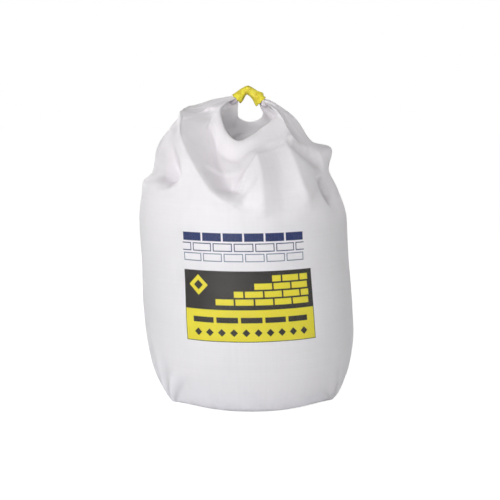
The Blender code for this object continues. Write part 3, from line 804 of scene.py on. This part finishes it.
def weave_group():
    """Plain weave of flat tapes: Cloth is the place on the cloth in metres."""
    tree, g, given, end = new_group(
        "tape_weave", {"Cloth": VECTOR, "Tape Width": NUMBER, "Unevenness": NUMBER},
        {"Height": NUMBER, "Tone": NUMBER})
    numbers, sides, tones = [], [], []
    for part, shift in zip(g.parts(given["Cloth"]), (17.3, 91.7)):
        value = g.math("DIVIDE", part, given["Tape Width"])
        bow = g.math("ABSOLUTE", g.math("SINE", g.product(value, math.pi)))
        sides.append(g.math("POWER", bow, 0.45))
        numbers.append(g.math("FLOOR", value))
        random = g.node("ShaderNodeTexWhiteNoise", {"W": g.math("ADD", numbers[-1], shift)},
                        noise_dimensions="1D")
        tones.append(random.outputs["Value"])
    weft_on_top = g.math("FLOORED_MODULO", g.math("ADD", *numbers), 2.0)
    warp_on_top = g.math("SUBTRACT", 1.0, weft_on_top)
    heights = [g.product(on_top, own, g.math("MULTIPLY_ADD", crossed, 0.4, 0.6))
               for on_top, own, crossed in ((warp_on_top, *sides), (weft_on_top, *sides[::-1]))]
    tone = g.math("ADD", g.product(warp_on_top, tones[0]), g.product(weft_on_top, tones[1]))
    low = g.math("MULTIPLY_ADD", given["Unevenness"], -0.5, 1.0)
    g.fill(end, {"Height": g.math("ADD", *heights),
                 "Tone": g.math("MULTIPLY_ADD", tone, given["Unevenness"], low)})
    return tree


def handling_group():
    """Marks of handling and dust: where the surface is rubbed, and where powder clings."""
    tree, g, given, end = new_group("handling_marks", {"Place": VECTOR, "Dust Height": NUMBER},
                                    {"Rubbed": NUMBER, "Dust": NUMBER, "Cloud": NUMBER})
    place = given["Place"]
    streak = g.noise(place, 9.0, detail=5.0, roughness=0.62, stretch=(1.0, 1.0, 0.28))
    share = g.math("DIVIDE", g.parts(place)[2], given["Dust Height"])
    low = g.math("POWER", 2.718, g.product(share, -1.0))
    ragged = g.noise(place, 14.0, detail=6.0, roughness=0.65)
    g.fill(end, {
        "Rubbed": g.spread(streak, 0.54, 0.74, 0.0, 1.0),
        "Dust": g.math("MULTIPLY", low, g.spread(ragged, 0.34, 0.66, 0.0, 1.0), clamp=True),
        "Cloud": g.noise(place, 3.1, detail=4.0, roughness=0.55)})
    return tree


def bricks(g, u, v, box, joint, count):
    """Mask of courses of bricks laid half over each other, the course, and the place in a brick."""
    left, right, low, course, long = box
    row = g.math("FLOOR", g.math("DIVIDE", g.math("SUBTRACT", v, low), course))
    up = g.repeat(v, low, course)
    shift = g.product(g.math("FLOORED_MODULO", row, 2.0), 0.5 * long)
    along = g.math("FLOORED_MODULO", g.math("ADD", g.math("SUBTRACT", u, left), shift), long)
    mask = g.product(g.between(along, 0.5 * joint, long - 0.5 * joint),
                     g.between(up, 0.5 * joint, course - 0.5 * joint),
                     g.between(row, -0.5, count - 0.5), g.between(u, left, right))
    return mask, row, along, up


def print_group():
    """Printed front: three courses of bricks over a panel with a stepped wall and lozenges."""
    tree, g, given, end = new_group(
        "front_print", {"Cloth": VECTOR}, {"Ink": NUMBER, "Colour": COLOUR})
    ragged = g.noise(given["Cloth"], 260.0, detail=2.0)
    slip = g.math("MULTIPLY_ADD", ragged, PRINT_RAGGED, -0.5 * PRINT_RAGGED)
    u, v = (g.math("ADD", part, slip) for part in g.parts(given["Cloth"])[:2])
    # three courses over the panel: solid, outlined and pale
    course, long = COURSES_BOX[3:]
    solid, row, along, up = bricks(g, u, v, COURSES_BOX, COURSE_JOINT, 3)
    line = COURSE_LINE + 0.5 * COURSE_JOINT
    hollow = g.box(along, up, line, long - line, line, course - line)
    lower_two = g.math("LESS_THAN", row, 1.5)
    courses = g.math("SUBTRACT", solid, g.product(solid, hollow, lower_two), clamp=True)
    course_ink = g.mix(g.math("LESS_THAN", row, 0.5), NAVY, SLATE)
    # panel, charcoal above and yellow below, with a dark edge line
    left, right, low, high = PANEL_BOX
    line = PANEL_LINE
    panel = g.box(u, v, *PANEL_BOX)
    inside = g.box(u, v, left + line, right - line, low + line, high - line)
    edge = g.math("SUBTRACT", panel, inside, clamp=True)
    # stepped wall of yellow bricks and a lozenge on the charcoal
    wall, step, _, _ = bricks(g, u, v, WALL_BOX, WALL_JOINT, 4)
    start = g.math("MULTIPLY_ADD", step, WALL_STEP, WALL_BOX[0] - 0.001)
    wall = g.product(wall, g.math("GREATER_THAN", u, start))
    away = g.lozenges(u, v, *LOZENGE[:2])
    yellow_above = g.math("MAXIMUM", wall, g.between(away, LOZENGE[3], LOZENGE[2]))
    # charcoal bars and lozenges on the yellow
    left, right, low, high, long = BARS_BOX
    bars = g.product(g.between(g.repeat(u, left, long), BAR_GAP, long - BAR_GAP),
                     g.between(v, low, high), g.between(u, left, right))
    left, right, middle, long, half = DIAMONDS_ROW
    away = g.lozenges(g.repeat(u, left, long), v, 0.5 * long, middle)
    diamonds = g.product(g.between(away, -1.0, half), g.between(u, left, right))
    above = g.mix(yellow_above, CHARCOAL, INK_YELLOW)
    below = g.mix(g.math("MAXIMUM", bars, diamonds), INK_YELLOW, CHARCOAL)
    panel_ink = g.mix(edge, g.mix(g.above(v, PANEL_SPLIT), below, above), CHARCOAL)
    g.fill(end, {"Ink": g.math("MAXIMUM", courses, panel),
                 "Colour": g.mix(panel, course_ink, panel_ink)})
    return tree


WEAVE = weave_group()
HANDLING = handling_group()
FRONT_PRINT = print_group()


def new_look(name):
    """New material with its graph and its shader."""
    made = bpy.data.materials.new(name)
    made.use_nodes = True
    return made, Graph(made.node_tree), made.node_tree.nodes["Principled BSDF"]


def cloth_place(graph):
    """Place on the cloth in metres, and place in space."""
    flat = graph.node("ShaderNodeUVMap", uv_map="cloth").outputs[0]
    return flat, graph.node("ShaderNodeTexCoord").outputs["Object"]


def woven_cloth_look():
    """White woven tape cloth with its printed front."""
    look, g, shader = new_look("woven_white_cloth")
    flat, space = cloth_place(g)
    weave = g.use(WEAVE, Cloth=flat, Tape_Width=CLOTH_TAPE, Unevenness=0.035)
    marks = g.use(HANDLING, Place=space, Dust_Height=0.035)
    printed = g.use(FRONT_PRINT, Cloth=flat)
    rise = g.spread(g.parts(space)[2], 0.1, 1.25, 0.0, 1.0)
    white = g.mix(rise, CLOTH_LOW, CLOTH_HIGH)
    white = g.mix(g.spread(marks["Cloud"], 0.3, 0.7, 0.0, 0.6), white, CLOTH_CLOUD)
    white = g.mix(g.product(marks["Rubbed"], 0.1), white, CLOTH_RUBBED)
    white = g.mix(g.product(marks["Dust"], 0.55), white, CEMENT_DUST)
    # the ink is thin in the gaps of the weave, in flecks and where it is rubbed, and only outside
    gaps = g.spread(weave["Height"], 0.1, 0.34, 0.72, 1.0)
    flecks = g.spread(g.noise(flat, 900.0, detail=1.0), 0.3, 0.42, 0.9, 1.0)
    worn = g.product(gaps, flecks, g.spread(marks["Rubbed"], 0.6, 1.0, 1.0, 0.86))
    inside = g.node("ShaderNodeNewGeometry").outputs["Backfacing"]
    ink = g.product(printed["Ink"], worn, g.math("SUBTRACT", 1.0, inside))
    rough = g.spread(marks["Cloud"], 0.3, 0.7, 0.5, 0.62)
    rough = g.math("MULTIPLY_ADD", marks["Dust"], 0.25, rough)
    creases = g.noise(space, 26.0, detail=5.0, roughness=0.6, stretch=(1.0, 1.0, 0.45))
    g.fill(shader, {
        "Base Color": g.mix(ink, g.toned(white, weave["Tone"]), printed["Colour"]),
        "Roughness": g.math("MULTIPLY_ADD", ink, -0.12, rough),
        "Normal": g.bump(weave["Height"], 0.0004, 0.35, g.bump(creases, 0.004, 0.35)),
        "Specular IOR Level": 0.35, "Subsurface Weight": 1.0,
        "Subsurface Radius": (1.0, 1.0, 1.0), "Subsurface Scale": CLOTH_SUBSURFACE})
    return look


def sleeve_look():
    """Coarse yellow woven sleeve, with painted shade: a deeper orange yellow mixed in by noise
    patches and in the gaps of the weave.
    """
    look, g, shader = new_look("sleeve_yellow_weave")
    flat, space = cloth_place(g)
    weave = g.use(WEAVE, Cloth=flat, Tape_Width=SLEEVE_TAPE, Unevenness=0.22)
    marks = g.use(HANDLING, Place=space, Dust_Height=0.035)
    patch = g.noise(space, 55.0, detail=4.0, roughness=0.6)
    # painted shade: noise patches of the deeper orange yellow stand in for the shade of the creases
    yellow = g.mix(g.spread(patch, 0.44, 0.7, 0.0, 0.75), SLEEVE_BRIGHT, SLEEVE_PAINTED_SHADE)
    # painted shade in the gaps between the tapes of the weave
    yellow = g.mix(g.spread(weave["Height"], 0.05, 0.45, 0.5, 0.0), yellow, SLEEVE_PAINTED_SHADE)
    yellow = g.mix(g.product(marks["Rubbed"], 0.3), yellow, SLEEVE_RUBBED)
    g.fill(shader, {
        "Base Color": g.toned(yellow, weave["Tone"]),
        "Roughness": g.spread(patch, 0.3, 0.7, 0.55, 0.75),
        "Normal": g.bump(weave["Height"], 0.0009, 0.8, g.bump(patch, 0.004, 0.4)),
        "Specular IOR Level": 0.3})
    return look


def liner_look():
    """Grey cement powder under a thin, wrinkled film."""
    look, g, shader = new_look("lined_cement")
    space = g.node("ShaderNodeTexCoord").outputs["Object"]
    marks = g.use(HANDLING, Place=space, Dust_Height=0.3)
    grain = g.noise(space, 160.0, detail=6.0, roughness=0.7)
    wrinkles = g.noise(space, 15.0, detail=7.0, roughness=0.6)
    grey = g.mix(g.spread(marks["Cloud"], 0.3, 0.7, 0.0, 1.0), CEMENT_DARK, CEMENT_LIGHT)
    grey = g.mix(g.spread(grain, 0.35, 0.65, 0.0, 0.5), grey, CEMENT_LIGHT)
    g.fill(shader, {
        "Base Color": g.mix(g.product(marks["Rubbed"], 0.5), grey, CEMENT_DUST),
        "Roughness": g.spread(wrinkles, 0.3, 0.7, 0.35, 0.7),
        "Coat Weight": g.spread(wrinkles, 0.35, 0.65, 0.15, 0.6), "Coat Roughness": 0.22,
        "Normal": g.bump(grain, 0.001, 0.4, g.bump(wrinkles, 0.02, 0.6))})
    return look


def make_bag(look):
    """Fabric of the bag: outer skin, inner skin, a folded hem on each slit and the base."""
    angles = np.arange(COLUMNS) * 360.0 / COLUMNS
    grid, _ = bag_rows(angles)
    tuck = edge_at(angles, TUCK)[None, :, :3] - HEM_BACK * normals_of(grid)[-1:]
    grid = np.concatenate([grid, tuck])
    mean_step = np.linalg.norm(np.diff(grid, axis=0), axis=-1).mean(axis=1)
    height = np.concatenate([[0.0], np.cumsum(mean_step)])
    shoulder = BODY_ROWS - 1
    height = height - height[shoulder] + SHOULDER_HEIGHT
    height[:shoulder] = body_heights()[:shoulder]
    inner = grid - CLOTH_THICK * normals_of(grid)
    middle = grid[0].mean(axis=0)
    rings = np.array([middle + share * (grid[0] - middle) for share in BASE_RINGS])
    outer = np.concatenate([rings, grid])
    first_inner = len(outer) * COLUMNS
    base_tip = first_inner + len(inner) * COLUMNS
    here, after = ring_numbers(COLUMNS)
    # the inner skin ends at the foot, where a fan closes it just above the base
    faces = [*rows_to_faces(len(outer), COLUMNS),
             *rows_to_faces(len(inner), COLUMNS)[:, ::-1] + first_inner,
             *band(first_inner - COLUMNS, base_tip - COLUMNS, COLUMNS),
             *fan(base_tip, after, here),
             *fan(base_tip + 1, first_inner + after, first_inner + here)]
    points = np.concatenate([outer.reshape(-1, 3), inner.reshape(-1, 3),
                             [middle, middle + (0.0, 0.0, CLOTH_THICK)]])
    uvs = np.concatenate([
        bag_uvs(np.concatenate([BASE_RING_CLOTH, height])), turned(bag_uvs(height)),
        bag_uvs(np.array([height[-1], height[-1] + CLOTH_THICK])),
        np.tile((0.0, BASE_RING_CLOTH[0]), (6 * COLUMNS, 1))])
    return make_mesh("bag_fabric", points, faces, look, uvs)


def apex_squeeze(x):
    """The rope and its sleeve are squeezed a little where they bend over the hook."""
    return 1.0 - ROPE_SQUEEZE * bell(x - ROPE_APEX[0], ROPE_SQUEEZE_REACH)


def ruffle(along, turn, size, seed):
    """Crumples of a gathered tube, from slow waves along it and round it."""
    seeded = np.random.default_rng(seed)
    total = 0.0
    for _ in range(RUFFLE_WAVES):
        around = int(seeded.integers(1, 9))
        length = seeded.uniform(20.0, 190.0)
        share = seeded.uniform(0.5, 1.0) / (1.0 + 0.1 * around + length / 260.0)
        total = total + share * np.sin(around * turn + length * along + seeded.uniform(0.0, 6.28))
    return size * total / 2.6


def make_sleeve(look):
    """Yellow woven sleeve pushed together on the rope, with raw ends that stand off a little."""
    xs = np.linspace(SLEEVE_LEFT, SLEEVE_RIGHT, SLEEVE_RINGS)
    places = np.array([rope_frame(x)[0] for x in xs])
    along = np.concatenate([[0.0], np.cumsum(np.linalg.norm(np.diff(places, axis=0), axis=1))])
    turns = np.arange(SLEEVE_SIDES) * 2 * math.pi / SLEEVE_SIDES
    grow = ruffle(along[:, None], turns[None, :], SLEEVE_RUFFLE, SLEEVE_SEED)
    end = np.minimum(along, along[-1] - along)
    grow += SLEEVE_FLARE * bell(end, SLEEVE_FLARE_REACH)[:, None]
    top = np.maximum(np.cos(turns), 0.0)[None, :] ** 1.5
    bunch = np.maximum(-np.cos(turns), 0.0)[None, :]
    for lumps, side in ((SLEEVE_LUMPS, top), (SLEEVE_BELLIES, bunch)):
        for place, reach, rise in lumps:
            grow += rise * bell(xs - place, reach)[:, None] * side
    ripple = np.sin(along * 2 * math.pi / SLEEVE_RIPPLE_LONG)
    ripple = SLEEVE_RIPPLE * ripple * bell(xs - ROPE_APEX[0], SLEEVE_RIPPLE_REACH)
    grow = np.maximum(grow + ripple[:, None] * bunch, -SLEEVE_DEEPEST)
    fray = 0.0016 * np.sin(7 * turns + 0.5) + 0.0012 * np.sin(17 * turns + 2.0)
    rings = []
    for inset in (0.0, CLOTH_THICK):
        for row, x in enumerate(xs):
            out = SLEEVE_CLEAR - inset + grow[row]
            ring, forward = rope_ring(x, turns, ROPE_THICK * apex_squeeze(x) + out, ROPE_WIDE + out)
            outward = bell(end[row], FRAY_REACH) * (1 if x > ROPE_APEX[0] else -1)
            rings.append(ring + np.outer(fray * outward, forward))
    count = SLEEVE_RINGS * SLEEVE_SIDES
    last = count - SLEEVE_SIDES
    skin = rows_to_faces(SLEEVE_RINGS, SLEEVE_SIDES)
    faces = [*skin, *skin[:, ::-1] + count, *band(0, count, SLEEVE_SIDES)[:, ::-1],
             *band(last, count + last, SLEEVE_SIDES)]
    girth = 2 * math.pi * (0.5 * (ROPE_THICK + ROPE_WIDE) + SLEEVE_CLEAR)
    uvs = tube_uvs(SLEEVE_SIDES, along, girth)
    ends = tube_uvs(SLEEVE_SIDES, np.array([0.0, CLOTH_THICK]), girth)
    return make_mesh("loop_sleeve_cloth", np.concatenate(rings), faces, look,
                     np.concatenate([uvs, turned(uvs), turned(ends), ends]))


def make_rope(look):
    """Gathered fabric inside the sleeve, pleated along its length and tapered at its ends."""
    xs = np.linspace(SLEEVE_LEFT, SLEEVE_RIGHT, ROPE_RINGS)
    stations = [(SLEEVE_LEFT, -reach, share) for reach, share in ROPE_TAPER[::-1]]
    stations += [(x, 0.0, 1.0) for x in xs]
    stations += [(SLEEVE_RIGHT, reach, share) for reach, share in ROPE_TAPER]
    turns = np.arange(ROPE_SIDES) * 2 * math.pi / ROPE_SIDES
    rings = []
    for row, (x, shift, share) in enumerate(stations):
        pleats = ROPE_PLEAT * np.abs(np.sin(0.5 * ROPE_PLEATS * turns + 0.25 * math.sin(0.5 * row)))
        size = share * (1.0 - pleats)
        thick = (ROPE_THICK - ROPE_INSET) * apex_squeeze(x) * size
        ring, forward = rope_ring(x, turns, thick, (ROPE_WIDE - ROPE_INSET) * size)
        rings.append(ring + shift * forward)
    uvs = tube_uvs(ROPE_SIDES, np.arange(len(rings)) * ROPE_RING_CLOTH, ROPE_GIRTH_CLOTH)
    ends = np.tile((0.0, ROPE_END_CLOTH), (6 * ROPE_SIDES, 1))
    return make_closed("gathered_rope", rings, look, np.concatenate([uvs, ends]))


def make_liner(look):
    """Film lining with the cement in it: it follows the fabric and closes in a low dome on top."""
    angles = np.arange(LINER_COLUMNS) * 360.0 / LINER_COLUMNS
    grid, level = bag_rows(angles)
    grid = grid[level <= LINER_EDGE - SHOULDER_HEIGHT]
    turn = np.radians(angles)
    outwards = np.stack([np.cos(turn), np.sin(turn), np.zeros_like(turn)], axis=-1)
    foot = 1 - ease(*LINER_FOOT_HEIGHTS, grid[:, :, 2:])
    grid = grid - (CLOTH_THICK + LINER_GAP) * normals_of(grid) - LINER_FOOT_GAP * foot * outwards
    grid[0, :, 2] = LINER_GAP + CLOTH_THICK
    rings, edge = list(grid), grid[-1]
    middle = edge.mean(axis=0)
    for share in np.linspace(1.0, 0.04, LINER_RINGS)[1:]:
        ring = middle + share * (edge - middle)
        swell = LINER_DOME * (1 - share ** 2) ** 1.6
        ripple = 0.01 * np.sin(5 * turn + 7 * share) + 0.006 * np.sin(11 * turn - 9 * share)
        ripple = ripple + 0.004 * np.sin(23 * turn + 4 * np.sin(9 * share))
        ring[:, 2] = edge[:, 2] + swell + ripple * ease(0.0, 0.3, 1 - share) * share
        rings.append(ring)
    return make_closed("filled_liner", rings, look)


def make_floor():
    """Pale floor, which the camera sees nearly white, with hardly any shadow."""
    look, g, lit = new_look("pale_floor")
    g.fill(lit, {"Base Color": FLOOR_LIT, "Roughness": 0.9})
    seen = g.node("ShaderNodeBsdfPrincipled", {
        "Base Color": FLOOR_SEEN, "Roughness": 1.0, "Specular IOR Level": 0.0,
        "Emission Color": WHITE, "Emission Strength": FLOOR_GLOW})
    g.show_to_camera(seen, lit, "Material Output")
    s = FLOOR_HALF
    corners = ((-s, -s, 0), (s, -s, 0), (s, s, 0), (-s, s, 0))
    floor = make_mesh("floor", corners, [(0, 1, 2, 3)], look)


def area_light(name, place, size, power):
    data = bpy.data.lights.new(name, "AREA")
    data.shape = "DISK"
    data.size = size
    data.energy = power
    add_object(name, data, place, LIGHT_AIM)


def make_world():
    """White studio: bright round the horizon and much darker overhead."""
    world = bpy.data.worlds.new("studio")
    bpy.context.scene.world = world
    world.use_nodes = True
    g = Graph(world.node_tree)
    lit = g.tree.nodes["Background"]
    parts = g.parts(g.node("ShaderNodeTexCoord").outputs["Generated"])
    ramp = g.node("ShaderNodeMapRange", {"Value": parts["Z"], "To Min": WORLD_HORIZON,
                                         "To Max": WORLD_ZENITH})
    front = g.math("MULTIPLY_ADD", parts["Y"], -WORLD_FRONT, 1.0)
    sided = g.math("MULTIPLY_ADD", parts["X"], WORLD_RIGHT, front)
    g.fill(lit, {"Color": WHITE, "Strength": g.product(ramp.outputs[0], sided)})
    seen = g.node("ShaderNodeBackground", {"Color": WHITE, "Strength": 1.0})
    g.show_to_camera(seen, lit, "World Output")


make_camera()
cloth = woven_cloth_look()
bag = make_bag(cloth)
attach(bag, "root")
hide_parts("woven_bag")

rope = make_rope(cloth)
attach(rope, "root")

sleeve = make_sleeve(sleeve_look())
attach(sleeve, "root")
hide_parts("loop_sleeve")

liner = make_liner(liner_look())
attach(liner, "root")
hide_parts("cement_fill")

make_floor()
make_world()
for light in LIGHTS:
    area_light(*light)

bpy.context.scene.view_settings.view_transform = "Standard"
